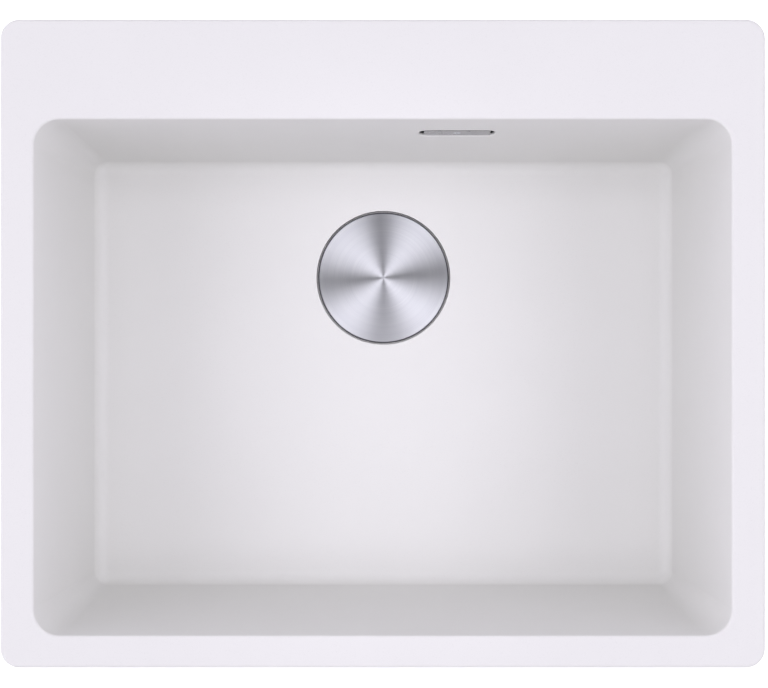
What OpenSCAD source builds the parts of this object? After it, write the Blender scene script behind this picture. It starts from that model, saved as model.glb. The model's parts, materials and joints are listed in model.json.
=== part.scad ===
// Single-bowl kitchen sink in cast composite, let into a worktop, with a tap ledge behind the bowl.
// Millimetres. X runs left to right, Y front to back, Z up.
// The origin is the middle of the rim, in the plane of the worktop's upper face.

/* [Rim] */
// Width of the sink, left to right
sink_w = 590; // [570:1:620]
// Depth of the sink, front to back
sink_d = 500; // [490:1:530]
// Height of the rim above the worktop
rim_h = 9.5; // [8.5:0.5:12]
// Radius of the rim's corners, seen from above
rim_corner_r = 15; // [14:0.5:20]
// Radius of the rim's upper edge
rim_edge_r = 3; // [1:0.5:4]
// Chamfer of the rim's lower edge
rim_chamfer = 0.8; // [0.4:0.1:1.5]
// Width of the strip of rim that lies on the worktop
seat_w = 9; // [7:0.5:9.5]
// Thickness of the plate behind that strip
plate_t = 8; // [6:0.5:8]
// Thickness of the rib that locates the rim in the cut-out
rib_t = 4; // [3:0.5:4.5]
// Depth of that rib below the worktop's upper face
rib_h = 7; // [4:0.5:12]

/* [Bowl] */
// Width of the rim beside the bowl
side_margin = 26; // [25:0.5:34]
// Width of the rim in front of the bowl
front_margin = 25; // [25:0.5:30]
// Depth of the tap ledge behind the bowl
ledge_d = 77; // [74:1:100]
// Height from the rim's top to the floor beside the walls
bowl_depth = 200; // [170:1:215]
// Lean of the walls, in degrees
wall_draft = 2.4; // [1:0.1:2.8]
// Radius of the bowl's upright corners, at the rim
bowl_corner_r = 20; // [17:0.5:26]
// Radius between the walls and the floor
floor_fillet_r = 11; // [6:0.5:12]
// Radius of the bowl's upper edge
lip_r = 2; // [1:0.5:4]
// Thickness of the walls
wall_t = 7.5; // [6:0.5:7.5]
// Thickness of the floor
floor_t = 8; // [6:0.5:12]
// Fall of the floor from the walls to the waste
floor_fall = 1.5; // [0.5:0.25:3]
// Radius of the fillet under the rim, round the bowl
under_fillet_r = 3; // [1:0.5:4]

/* [Tap ledge] */
// Radius of the knock-out holes for a tap
tap_hole_r = 17.5; // [15:0.5:18]
// Thickness of the skin left over each knock-out hole
tap_skin = 3; // [2:0.25:4]
// Distance between neighbouring knock-out holes
tap_pitch = 130; // [124:1:150]
// Thickness of the ribs under the ledge
ledge_rib_t = 4; // [3:0.5:6]
// Spacing of those ribs from the middle outwards
ledge_rib_pitch = 65; // [60:1:70]

/* [Waste outlet in the bowl] */
// Distance from the bowl's rear wall to the middle of the waste
waste_back = 112; // [100:1:150]
// Radius of the round recess for the cover
recess_r = 61; // [60.5:0.25:64]
// Depth of that recess
recess_h = 8; // [7.5:0.25:12]
// Radius of the hole through the floor
waste_hole_r = 46; // [45:0.25:47]
// Radius of the thickened pad under the hole
pad_r = 72; // [68:1:90]
// Thickness of the floor under the recess
pad_t = 9; // [6:0.5:14]

/* [Waste flange] */
// Radius of the steel flange
flange_r = 59; // [56:0.25:60]
// Thickness of the steel sheet
sheet_t = 1.2; // [0.8:0.1:1.4]
// Thickness of the seal under the flange
seal_t = 1.5; // [1:0.25:2.5]
// Radius of the strainer well, outside
well_r = 42.5; // [41.5:0.25:43]
// Depth of the straight part of the well
well_h = 24; // [22:0.5:28]
// Height of the well's sloping seat
seat_slope_h = 10; // [8:0.5:12]
// Radius of the throat under the seat, outside
throat_r = 27; // [26:0.25:28]
// Height of the throat
throat_h = 9; // [8:0.5:12]

/* [Waste body] */
// Thickness of the lower seal
lower_seal_t = 3; // [2:0.5:4]
// Radius of the body's clamping flange
body_flange_r = 66; // [62:0.5:67]
// Radius of the body's housing, outside
body_r = 51; // [49:0.5:54]
// Wall of the body
body_t = 3; // [2.5:0.25:3.5]
// Radius of the outlet's thread
outlet_r = 23.9; // [22:0.1:25]
// Length of the outlet's thread
outlet_h = 18; // [14:1:30]
// Wall of the outlet
outlet_t = 3.2; // [2.5:0.1:4]
// Radius of the waste screw's shank
waste_screw_r = 3; // [2.5:0.1:3.5]
// Height of the cone above the outlet
cone_h = 14; // [12:0.5:18]
// Gap between the well and that cone
cone_gap = 6; // [5:0.5:9]
// Distance that the overflow's spigot reaches past the body's flange
spigot_run = 20; // [18:1:30]

/* [Cover] */
// Gap between the cover and the recess
cover_gap = 1.5; // [1:0.1:2]
// Thickness of the cover's disc
cover_t = 1.6; // [1.2:0.1:2]
// Height of the cover's turned-down edge
cover_skirt_h = 3.4; // [2.4:0.1:3.6]
// Bevel on the cover's upper edge
cover_bevel = 0.7; // [0.3:0.1:1]

/* [Strainer basket] */
// Radius of the basket, outside
basket_r = 38; // [35:0.5:38.5]
// Depth of the basket
basket_h = 19; // [16:0.5:20]
// Thickness of the basket's sheet
basket_t = 0.8; // [0.6:0.1:1.2]
// Width of the basket's turned-out lip
basket_lip = 2.2; // [1.5:0.1:2.4]
// Radius of the holes in the basket
strain_r = 1.9; // [1.2:0.1:2]
// Radius of the stem
stem_r = 4; // [3:0.25:5]
// Radius of the knob on the stem
knob_r = 10; // [8:0.5:12]
// Gap between the knob and the cover
knob_gap = 3; // [2:0.5:5]

/* [Overflow] */
// Distance from the middle of the sink to the middle of the slot
overflow_x = 60; // [54:1:64]
// Height from the rim's top down to the middle of the slot
overflow_drop = 58; // [52:1:70]
// Length of the slot
slot_w = 61; // [58:0.5:64]
// Height of the slot
slot_h = 24.5; // [20:0.5:26]
// Radius of the slot's corners
slot_corner_r = 8; // [5:0.5:9]
// Chamfer of the slot's edge
slot_chamfer = 0.8; // [0.6:0.1:2]
// Width of the steel cover in the slot
trim_w = 53.5; // [44:0.5:54]
// Gap above and below that cover
trim_gap = 1.2; // [0.8:0.1:2]
// Thickness of that cover
trim_t = 1.2; // [0.8:0.1:1.6]
// Distance from the rear wall's upper edge back to the pad's flat rear face
overflow_pad_y = 11; // [10:0.5:14]
// Thickness of the gasket
gasket_t = 3; // [2:0.5:4]
// Wall of the plastic housing
housing_t = 2.5; // [2:0.25:3]
// Thickness of the housing's flange
housing_flange_t = 3.5; // [3:0.25:5]
// Width of the gasket all round the slot
gasket_w = 11; // [8:0.5:12]
// Distance from the middle of the slot to the pipe, towards the waste
neck_offset = 24; // [22:0.5:25]
// Radius of the screws in the housing's ears
ear_screw_r = 2; // [1.5:0.1:2.2]
// Radius of the screw in the cover
cover_screw_r = 1.5; // [1.2:0.1:1.8]

/* [Overflow pipe] */
// Radius of the pipe, outside
pipe_r = 10; // [9:0.25:10.5]
// Wall of the pipe
pipe_t = 1.8; // [1.2:0.1:2.4]
// Radius of the bend, on the pipe's centre line
pipe_bend_r = 26; // [22:1:32]
// Gap between the pipe and its sockets
socket_gap = 0.3; // [0.2:0.05:0.5]
// Wall of the sockets
socket_t = 2.2; // [1.8:0.1:2.6]
// Length of pipe inside a socket
socket_h = 14; // [10:0.5:16]
// Wall of the union nuts
nut_t = 3.6; // [3:0.1:5]
// Height of the union nuts
nut_h = 15; // [13:0.5:18]
// Number of grips round a union nut
nut_grips = 12; // [8:1:16]

/* [Worktop clamps] */
// Radius of the clamp screws
clamp_screw_r = 2.5; // [2:0.1:3]
// Distance from the cut-out's edge in to the clamp screws
clamp_inset = 5.5; // [5.2:0.1:5.8]
// Radius of the bosses that hold the clamp screws
clamp_boss_r = 5.5; // [5:0.1:5.5]
// Depth of those bosses below the worktop's upper face
clamp_boss_h = 18; // [16:0.5:24]
// Distance from a side of the bowl to the clamp in front of it
clamp_end_x = 120; // [100:5:150]
// How much further out than those the rear clamps are
clamp_rear_shift = 40; // [30:1:46]
// Distance between the two clamps on each side
clamp_pitch_y = 200; // [180:5:260]
// Width of a clamp's jaw
jaw_w = 8; // [7:0.5:8.5]
// Reach of a jaw from its screw
jaw_reach = 32; // [24:1:40]
// Thickness of a jaw
jaw_t = 2; // [1.5:0.25:2.5]
// Height of a jaw's turned-up toe
jaw_toe_h = 6; // [4:0.5:8]
// Thickest worktop that the jaws reach under
worktop_max = 42; // [38:1:50]
// Travel of a clamp screw
clamp_travel = 14; // [10:1:16]

/* [Hidden] */
$fn = 64;
// Room for cuts that run past a face
over = 1;
// Gap between pieces that move on each other
run_gap = 0.3;
// Gap between round pieces that fit in one another and stay put
fit_gap = 0.06;
// Gap round a screw in a hole that it passes through
screw_gap = 0.3;
// How far a fillet's arc runs past its lines, and by how much, so that they meet at a clean edge
blend_run = 0.3;
blend = 0.002;

rim_top = rim_h;
plate_z = rim_top - plate_t;
cutout_x = sink_w / 2 - seat_w;
cutout_y = sink_d / 2 - seat_w;
rim_core_x = sink_w / 2 - rim_corner_r;
rim_core_y = sink_d / 2 - rim_corner_r;

bowl_w = sink_w - 2 * side_margin;
bowl_d = sink_d - front_margin - ledge_d;
bowl_y = -sink_d / 2 + front_margin + bowl_d / 2;
bowl_rear_y = bowl_y + bowl_d / 2;
bowl_core_x = bowl_w / 2 - bowl_corner_r;
bowl_core_y = bowl_d / 2 - bowl_corner_r;
// The lip's round starts this far in front of the wall's face, so that the two faces cross
lip_lap = 0.02;
floor_z = rim_top - bowl_depth;
ledge_mid_y = bowl_rear_y + ledge_d / 2;
// The floor's fillet can't be larger than the corner that it runs round
foot_corner_r = bowl_corner_r - bowl_depth * tan(wall_draft);
floor_r = min(floor_fillet_r, (foot_corner_r - 2 * blend_run) * tan(45 + wall_draft / 2));

waste_y = bowl_rear_y - waste_back;
waste_z = floor_z - floor_fall;
recess_z = waste_z - recess_h;
pad_z = recess_z - pad_t;
pad_step = pad_t / 3;
pad_skirt = 12;

flange_z = recess_z + seal_t;
flange_top_z = flange_z + sheet_t;
slope_z = flange_top_z - well_h;
throat_z = slope_z - seat_slope_h;
well_floor_z = throat_z - throat_h;
well_in_r = well_r - sheet_t;
throat_in_r = throat_r - sheet_t;

body_top_z = pad_z - lower_seal_t;
body_cone_z = well_floor_z - cone_gap;
body_flange_h = 4;
outlet_top_z = body_cone_z - cone_h;
outlet_z = outlet_top_z - outlet_h;
outlet_in_r = outlet_r - outlet_t;
hub_r = 2.5 * waste_screw_r;
hub_h = cone_h;
hub_z = body_cone_z - body_t - 1 - hub_h;
// Corner radius and height of the nut in the hub
nut_r = 1.87 * waste_screw_r;
hub_nut_h = 2 * waste_screw_r;

cover_r = recess_r - cover_gap;
cover_under_z = waste_z - cover_t;
basket_top_z = slope_z + basket_h - 4;
basket_floor_z = basket_top_z - basket_h;
knob_h = knob_r / 2;
knob_top_z = cover_under_z - knob_gap;

overflow_z = rim_top - overflow_drop;
overflow_wall_y = bowl_rear_y - overflow_drop * tan(wall_draft);
pad_face_y = bowl_rear_y + overflow_pad_y;
pad_edge = 2;
trim_h = slot_h - 2 * trim_gap;
trim_y = overflow_wall_y + 0.4;
gasket_y = pad_face_y + gasket_t;
ear_r = 3.5 * ear_screw_r;
ear_x = slot_w / 2 + gasket_w + ear_r - 2;
ear_thread_h = 8;
cover_post_r = 3 * cover_screw_r;
cover_screw_h = 10 * cover_screw_r;

socket_in_r = pipe_r + socket_gap;
socket_out_r = socket_in_r + socket_t;
nut_out_r = socket_out_r + nut_t;
nut_lip = 2.2;
washer_h = 2.4;
grip_r = 2;
pipe_in_r = pipe_r - pipe_t;
pipe_x = overflow_x - neck_offset;
pipe_y = gasket_y + socket_out_r + 1;
housing_back_y = pipe_y + socket_out_r + 0.6;
housing_w = 2 * (neck_offset + socket_out_r) - 3;
housing_h = slot_h + 3;
upper_socket_z = overflow_z - slot_h / 2 - gasket_w - socket_h - 8;
pipe_z = body_top_z - nut_out_r - 8;
// Distances along the pipe's level run, from the waste's middle
lower_socket_d = body_flange_r + spigot_run;
pipe_run = pipe_y - waste_y;

jaw_z = -worktop_max - jaw_toe_h;
jaw_hole_r = clamp_screw_r + screw_gap;
clamp_head_h = 3.4;
collar_h = 1.2;
insert_r = clamp_screw_r + 0.9;
insert_h = 8;
screw_tip_z = -clamp_boss_h + insert_h - 1.5;
clamp_x = cutout_x - clamp_inset;
clamp_y = cutout_y - clamp_inset;
clamp_front_x = bowl_w / 2 - clamp_end_x;
clamp_rear_x = clamp_front_x + clamp_rear_shift;

// Each clamp: its place, the way it points when folded, and the way out over the worktop
CLAMPS = [
    [[clamp_x, bowl_y - clamp_pitch_y / 2], -90, 0],
    [[clamp_x, bowl_y + clamp_pitch_y / 2], -90, 0],
    [[-clamp_x, bowl_y - clamp_pitch_y / 2], -90, 180],
    [[-clamp_x, bowl_y + clamp_pitch_y / 2], -90, 180],
    [[clamp_front_x, -clamp_y], 180, -90],
    [[-clamp_front_x, -clamp_y], 0, -90],
    [[clamp_rear_x, clamp_y], 180, 90],
    [[-clamp_rear_x, clamp_y], 0, 90]
];
CLAMP_NAMES = [
    "right_front", "right_rear", "left_front", "left_rear",
    "front_right", "front_left", "rear_right", "rear_left"
];

FIXED = [
    "basin", "overflow_cover", "overflow_cover_screw", "overflow_gasket", "overflow_housing",
    "overflow_housing_screws", "overflow_pipe", "upper_union_nut", "upper_union_seal",
    "lower_union_nut", "lower_union_seal", "waste_flange", "flange_seal", "lower_seal", "waste_body",
    "waste_screw", "waste_nut", "clamp_inserts"
];
MOVING = ["strainer_basket", "basket_stem", "basket_plug", "stem_nut", "cover_plate", "cover_post"];

// Paths and profiles

function unit(v) = v / norm(v);
function left_of(v) = [-v[1], v[0]];

// Points along a circular bend of radius r that rounds the corner b between a and c
function bend(a, b, c, r, n) =
    let (
        u = unit(a - b),
        v = unit(c - b),
        half = acos(u * v) / 2,
        mid = b + unit(u + v) * r / sin(half),
        from = b + u * r / tan(half) - mid,
        to = b + v * r / tan(half) - mid,
        start = atan2(from[1], from[0]),
        turn = atan2(from[0] * to[1] - from[1] * to[0], from * to)
    )
    [for (k = [0:n]) mid + r * [cos(start + turn * k / n), sin(start + turn * k / n)]];

// An open path with each inner corner rounded to its radius in radii
function rounded(path, radii, n = 5) = [
    for (i = [0:len(path) - 1])
        each (i == 0 || i == len(path) - 1 || radii[i] == 0
            ? [path[i]]
            : bend(path[i - 1], path[i], path[i + 1], radii[i], n))
];

// How far a path's point i moves when the path is set off by 1 to its left
function mitre(path, i) =
    let (
        last = len(path) - 1,
        before = left_of(unit(path[max(i, 1)] - path[max(i, 1) - 1])),
        after = left_of(unit(path[min(i, last - 1) + 1] - path[min(i, last - 1)]))
    )
    (before + after) / (1 + before * after);

// A sheet of thickness t that lies along the left of an open path
module sheet(path, t) {
    last = len(path) - 1;
    polygon(concat(path, [for (i = [last:-1:0]) path[i] + t * mitre(path, i)]));
}

// The section between x = 0 and a wall that leans from low up to top, with a fillet of radius r at its foot
module leaning_section(top, low, r) {
    up = unit(top - low);
    inward = [-1, 0];
    half = acos(up * inward) / 2;
    run = r / tan(half);
    mid = low + unit(up + inward) * r / sin(half);
    polygon([[0, top[1]], top, low + up * run, low + inward * run, [0, low[1]]]);
    intersection() {
        translate(mid) circle(r + blend);
        polygon([
            mid, low + up * (run + blend_run), low - over * (up + inward), low + inward * (run + blend_run)
        ]);
    }
}

// A profile carried round a rectangle with rounded corners.
// The profile's x is its distance out from the corners' centres, which lie at (core_x, core_y).
module carry_round(core_x, core_y) {
    for (quarter = [0:3]) {
        sx = quarter == 0 || quarter == 3 ? 1 : -1;
        sy = quarter < 2 ? 1 : -1;
        translate([sx * core_x, sy * core_y, 0]) rotate([0, 0, quarter * 90])
            rotate_extrude(angle = 90) children();
        long = quarter % 2 == 0 ? core_y : core_x;
        out = quarter % 2 == 0 ? core_x : core_y;
        rotate([0, 0, quarter * 90]) translate([out, long, 0]) rotate([90, 0, 0])
            linear_extrude(2 * long) children();
    }
}

// A flat oval of a length and a height, in the XZ plane, from y0 to y1
module oval_block(length, height, y0, y1) {
    translate([0, y1, 0]) rotate([90, 0, 0]) linear_extrude(y1 - y0) {
        square([length - height, height], center = true);
        for (s = [-1, 1]) translate([s * (length - height) / 2, 0]) circle(height / 2);
    }
}

// An oblong block with rounded corners, in the XZ plane, from y0 to y1
module oblong_block(length, height, r, y0, y1) {
    translate([0, y1, 0]) rotate([90, 0, 0]) linear_extrude(y1 - y0) {
        square([length - 2 * r, height], center = true);
        square([length, height - 2 * r], center = true);
        for (x = [-1, 1], z = [-1, 1]) translate([x * (length / 2 - r), z * (height / 2 - r)]) circle(r);
    }
}

module tube(r, bore, z0, z1) {
    translate([0, 0, z0]) difference() {
        cylinder(r = r, h = z1 - z0);
        translate([0, 0, -over]) cylinder(r = bore, h = z1 - z0 + 2 * over);
    }
}

module at_waste() {
    translate([0, waste_y, 0]) children();
}

module at_overflow() {
    translate([overflow_x, 0, overflow_z]) children();
}

// Places children with their Z back along the pipe's level run, at a distance from the waste's middle
module at_level_run(distance) {
    translate([pipe_x, waste_y + distance, pipe_z]) rotate([90, 0, 0]) children();
}

// The basin

// Radius of the bowl's corner at height z
function corner_r(z) = bowl_corner_r - (rim_top - z) * tan(wall_draft);

module rim_profile() {
    out = rim_corner_r;
    rib_out = rim_corner_r - seat_w;
    difference() {
        union() {
            translate([0, plate_z]) square([out, plate_t]);
            translate([rib_out - rib_t, 0]) square([out - rib_out + rib_t, rim_h]);
            translate([rib_out - rib_t, -rib_h]) square([rib_t, rib_h + over]);
        }
        difference() {
            translate([out - rim_edge_r, rim_top - rim_edge_r]) square(rim_edge_r + over);
            translate([out - rim_edge_r, rim_top - rim_edge_r]) circle(rim_edge_r);
        }
        polygon([[out - rim_chamfer, -over / 2], [out + over, -over / 2], [out + over, rim_chamfer],
            [out, rim_chamfer], [out - rim_chamfer, 0]]);
    }
}

// The inside of the bowl, from the corner's centre out to the wall
module bowl_profile() {
    lip_x = corner_r(rim_top - lip_r) - lip_lap;
    leaning_section([corner_r(rim_top + over), rim_top + over], [corner_r(floor_z), floor_z], floor_r);
    difference() {
        translate([lip_x - over / 4, rim_top - lip_r]) square([lip_r + over / 4, lip_r + over]);
        translate([lip_x + lip_r, rim_top - lip_r]) circle(lip_r);
        translate([lip_x + lip_r, rim_top - lip_r - over]) square([over, lip_r + 2 * over]);
    }
}

// The outside of the bowl's shell
module shell_profile() {
    under = floor_z - floor_t;
    x = corner_r(plate_z - under_fillet_r) + wall_t;
    leaning_section(
        [corner_r(plate_z + over) + wall_t, plate_z + over],
        [corner_r(under) + wall_t, under],
        floor_r + wall_t
    );
    difference() {
        translate([x - over, plate_z - under_fillet_r])
            square([under_fillet_r + over, under_fillet_r + over / 2]);
        translate([x + under_fillet_r, plate_z - under_fillet_r]) circle(under_fillet_r);
    }
}

module bowl_space() {
    translate([0, bowl_y, 0]) {
        carry_round(bowl_core_x, bowl_core_y) bowl_profile();
        translate([-bowl_core_x, -bowl_core_y, floor_z])
            cube([2 * bowl_core_x, 2 * bowl_core_y, bowl_depth + over]);
    }
}

// The floor falls from a rectangle inside the fillets to the round recess
module floor_fall_space() {
    edge = corner_r(floor_z) - floor_r - 1;
    hull() {
        translate([-bowl_core_x - edge, bowl_y - bowl_core_y - edge, floor_z])
            cube([2 * (bowl_core_x + edge), 2 * (bowl_core_y + edge), over]);
        at_waste() translate([0, 0, waste_z]) cylinder(r = recess_r, h = over);
    }
}

module waste_cut() {
    at_waste() {
        translate([0, 0, recess_z]) cylinder(r = recess_r, h = recess_h + floor_fall + over);
        translate([0, 0, pad_z - over]) cylinder(r = waste_hole_r, h = pad_t + 2 * over);
    }
}

// The slot, with its chamfered mouth square to the leaning wall.
// The mouth's corners start a little further out than the slot's, so that their edges stay apart.
module slot_cut() {
    core_x = slot_w / 2 - slot_corner_r + slot_chamfer / 2;
    core_z = slot_h / 2 - slot_corner_r + slot_chamfer / 2;
    small = slot_corner_r - slot_chamfer;
    back = 1.5 * slot_chamfer;
    depth = back + 2 * over;
    at_overflow() {
        oblong_block(slot_w, slot_h, slot_corner_r, overflow_wall_y - 4 * over, pad_face_y + over);
        translate([0, overflow_wall_y, 0]) rotate([90 - wall_draft, 0, 0]) translate([0, 0, -back]) {
            carry_round(core_x, core_z) polygon([[0, 0], [small, 0], [small + depth, depth], [0, depth]]);
            translate([-core_x, -core_z, 0]) cube([2 * core_x, 2 * core_z, depth]);
        }
    }
}

module clamp_bosses() {
    h = clamp_boss_h + plate_z + over;
    back = 1.75 * clamp_boss_r;
    for (c = CLAMPS) translate([c[0][0], c[0][1], -clamp_boss_h]) {
        cylinder(r = clamp_boss_r, h = h);
        rotate([0, 0, c[2]]) translate([-back, -clamp_boss_r, 0]) cube([back, 2 * clamp_boss_r, h]);
    }
}

module clamp_holes() {
    depth = screw_tip_z + clamp_boss_h + clamp_travel + insert_h / 5;
    for (c = CLAMPS) translate([c[0][0], c[0][1], -clamp_boss_h - over]) {
        cylinder(r = insert_r + fit_gap, h = insert_h + over);
        cylinder(r = clamp_screw_r + screw_gap, h = depth + over);
    }
}

module ledge_ribs() {
    rear = cutout_y - rib_t / 2;
    front = bowl_rear_y + wall_t / 2;
    for (i = [-4, -3, -1, 1, 3, 4]) translate([i * ledge_rib_pitch - ledge_rib_t / 2, front, -rib_h + over])
        cube([ledge_rib_t, rear - front, rib_h + plate_z]);
}

module ear_holes() {
    at_overflow() for (s = [-1, 1]) translate([s * ear_x, pad_face_y + over, 0]) rotate([90, 0, 0])
        cylinder(r = ear_screw_r + fit_gap, h = ear_thread_h + 2 * over);
}

module basin() {
    color("ghostwhite") difference() {
        union() {
            carry_round(rim_core_x, rim_core_y) rim_profile();
            translate([-rim_core_x, -rim_core_y, plate_z])
                cube([2 * rim_core_x, 2 * rim_core_y, plate_t]);
            translate([0, bowl_y, 0]) {
                carry_round(bowl_core_x, bowl_core_y) shell_profile();
                translate([-bowl_core_x, -bowl_core_y, floor_z - floor_t])
                    cube([2 * bowl_core_x, 2 * bowl_core_y, bowl_depth]);
            }
            at_waste() {
                translate([0, 0, pad_z]) cylinder(r = pad_r, h = recess_h + pad_t);
                translate([0, 0, pad_z + pad_step])
                    cylinder(r1 = pad_r, r2 = pad_r + pad_skirt, h = pad_skirt);
            }
            at_overflow() oval_block(2 * (ear_x + ear_r + pad_edge), slot_h + 2 * (gasket_w + pad_edge),
                overflow_wall_y, pad_face_y);
            clamp_bosses();
            ledge_ribs();
        }
        bowl_space();
        floor_fall_space();
        waste_cut();
        slot_cut();
        clamp_holes();
        ear_holes();
        for (i = [-1:1]) translate([i * tap_pitch, ledge_mid_y, plate_z - over])
            cylinder(r = tap_hole_r, h = plate_t - tap_skin + over);
    }
}

// The overflow

module overflow_cover() {
    hole_r = cover_screw_r + screw_gap;
    color("silver") at_overflow() difference() {
        oblong_block(trim_w, trim_h, 2 * trim_gap, trim_y, trim_y + trim_t);
        translate([0, trim_y + trim_t + over, 0]) rotate([90, 0, 0])
            cylinder(r = hole_r, h = trim_t + 2 * over);
        translate([0, trim_y + trim_t, 0]) rotate([90, 0, 0])
            cylinder(r1 = hole_r, r2 = hole_r + 2 * trim_t, h = 1.5 * trim_t);
    }
}

// The cross in a screw's head, cut down from z = 0 to a depth
module cross_slot(length, width, depth) {
    for (a = [0, 90]) rotate([0, 0, a]) translate([-length / 2, -width / 2, -depth])
        cube([length, width, depth + over]);
}

module overflow_cover_screw() {
    head_r = cover_screw_r + screw_gap + 1.2 * trim_t;
    sunk = fit_gap;
    color("gainsboro") at_overflow() translate([0, trim_y, 0]) rotate([90, 0, 0]) difference() {
        union() {
            translate([0, 0, -trim_t]) cylinder(r1 = cover_screw_r, r2 = head_r, h = trim_t - sunk);
            translate([0, 0, -cover_screw_h]) cylinder(r = cover_screw_r, h = cover_screw_h - sunk);
        }
        cross_slot(1.3 * head_r, 0.25 * head_r, trim_t / 2);
    }
}

module overflow_gasket() {
    back = 4;
    color("dimgray") at_overflow() difference() {
        oval_block(slot_w + 2 * gasket_w, slot_h + 2 * gasket_w, pad_face_y, gasket_y);
        oval_block(slot_w + back, slot_h + back, pad_face_y - over, gasket_y + over);
    }
}

module overflow_housing() {
    front = gasket_y;
    back = housing_back_y;
    post_y = trim_y + trim_t;
    neck_z = upper_socket_z - overflow_z;
    color("lightgray") at_overflow() difference() {
        union() {
            difference() {
                union() {
                    oval_block(slot_w + 2 * gasket_w, slot_h + 2 * gasket_w, front, front + housing_flange_t);
                    oval_block(2 * (ear_x + ear_r), 2 * ear_r, front, front + housing_flange_t);
                    oval_block(housing_w + 2 * housing_t, housing_h + 2 * housing_t, front, back);
                    translate([-neck_offset, pipe_y, neck_z]) cylinder(r = socket_out_r, h = -neck_z);
                }
                oval_block(housing_w, housing_h, front - over, back - housing_t);
            }
            translate([0, back - over, 0]) rotate([90, 0, 0])
                cylinder(r = cover_post_r, h = back - over - post_y);
        }
        translate([-neck_offset, pipe_y, neck_z - over]) cylinder(r = socket_in_r, h = socket_h + over);
        translate([-neck_offset, pipe_y, neck_z]) cylinder(r = pipe_in_r, h = -neck_z);
        translate([0, post_y + cover_screw_h, 0]) rotate([90, 0, 0])
            cylinder(r = cover_screw_r + fit_gap, h = cover_screw_h + over);
        for (s = [-1, 1]) translate([s * ear_x, front + housing_flange_t + over, 0]) rotate([90, 0, 0])
            cylinder(r = ear_screw_r + screw_gap, h = housing_flange_t + 2 * over);
    }
}

module overflow_housing_screws() {
    face = gasket_y + housing_flange_t;
    head_r = 2 * ear_screw_r;
    head_h = 1.2 * ear_screw_r;
    color("gainsboro") at_overflow() for (s = [-1, 1]) translate([s * ear_x, face, 0]) rotate([-90, 0, 0]) {
        difference() {
            cylinder(r1 = head_r, r2 = 0.8 * head_r, h = head_h);
            translate([0, 0, head_h]) cross_slot(1.2 * head_r, 0.2 * head_r, head_h / 2);
        }
        translate([0, 0, pad_face_y - face - ear_thread_h])
            cylinder(r = ear_screw_r, h = face - pad_face_y + ear_thread_h);
    }
}

// The overflow pipe

module ring_2d(r, bore) {
    difference() {
        circle(r);
        circle(bore);
    }
}

module overflow_pipe() {
    top = upper_socket_z + socket_h - socket_gap;
    level_end = lower_socket_d - socket_h + socket_gap;
    color("whitesmoke") translate([pipe_x, pipe_y - pipe_bend_r, pipe_z + pipe_bend_r]) rotate([0, 0, 90]) {
        rotate([90, 0, 0]) rotate([0, 0, -90]) rotate_extrude(angle = 90)
            translate([pipe_bend_r, 0]) ring_2d(pipe_r, pipe_in_r);
        translate([pipe_bend_r, 0, 0]) linear_extrude(top - pipe_z - pipe_bend_r) ring_2d(pipe_r, pipe_in_r);
        translate([0, 0, -pipe_bend_r]) rotate([0, -90, 0])
            linear_extrude(pipe_run - pipe_bend_r - level_end) ring_2d(pipe_r, pipe_in_r);
    }
}

// A union nut whose socket's mouth is at z = 0 and whose pipe leaves downwards
module union_nut() {
    low = -washer_h - nut_lip - socket_gap;
    difference() {
        translate([0, 0, low]) cylinder(r = nut_out_r, h = nut_h);
        translate([0, 0, -washer_h - socket_gap])
            cylinder(r = socket_out_r + socket_gap / 2, h = nut_h + over);
        translate([0, 0, low - over]) cylinder(r = socket_in_r + socket_gap / 2, h = nut_h);
        for (i = [0:nut_grips - 1]) rotate([0, 0, (i + 0.5) * 360 / nut_grips])
            translate([nut_out_r + grip_r / 2, 0, low + grip_r]) cylinder(r = grip_r, h = nut_h);
    }
}

module union_seal() {
    tube(socket_out_r, pipe_r + fit_gap, -washer_h - fit_gap, -fit_gap);
}

module at_upper_union() {
    translate([pipe_x, pipe_y, upper_socket_z]) children();
}

module at_lower_union() {
    at_level_run(lower_socket_d) children();
}

// The waste

// Sheet profile of the flange, its well, its sloping seat and the throat
module flange_profile() {
    edge = 0.8 * sheet_t;
    sheet(rounded(
        [[0, well_floor_z], [throat_in_r, well_floor_z], [throat_in_r, throat_z], [well_in_r, slope_z],
            [well_in_r, flange_top_z], [flange_r - edge, flange_top_z], [flange_r, flange_top_z - edge]],
        [0, 3, 2, 4, 3, 0, 0]
    ), -sheet_t);
}

module waste_flange() {
    holes = 6;
    color("silver") at_waste() difference() {
        rotate_extrude() flange_profile();
        translate([0, 0, well_floor_z - 2 * sheet_t]) {
            cylinder(r = waste_screw_r + screw_gap, h = 4 * sheet_t);
            for (i = [0:holes - 1]) rotate([0, 0, i * 360 / holes]) translate([0.62 * throat_in_r, 0, 0])
                cylinder(r = 0.23 * throat_in_r, h = 4 * sheet_t);
        }
    }
}

module flange_seal() {
    color("dimgray") at_waste() tube(flange_r - 2 * seal_t, waste_hole_r, recess_z, flange_z);
}

module lower_seal() {
    color("dimgray") at_waste() tube(body_flange_r - 1, waste_hole_r + 1, body_top_z, pad_z);
}

// Outline of the waste body, as if it were solid
module body_outside() {
    collar = 4;
    polygon(concat(
        [[0, body_top_z]],
        rounded([[body_flange_r, body_top_z], [body_flange_r, body_top_z - body_flange_h],
            [body_r, body_top_z - body_flange_h], [body_r, body_cone_z],
            [outlet_r + collar, outlet_top_z], [outlet_r, outlet_top_z]],
            [0, 1.5, 2, 8, 1, 0]),
        [[outlet_r, outlet_z], [0, outlet_z]]
    ));
}

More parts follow.
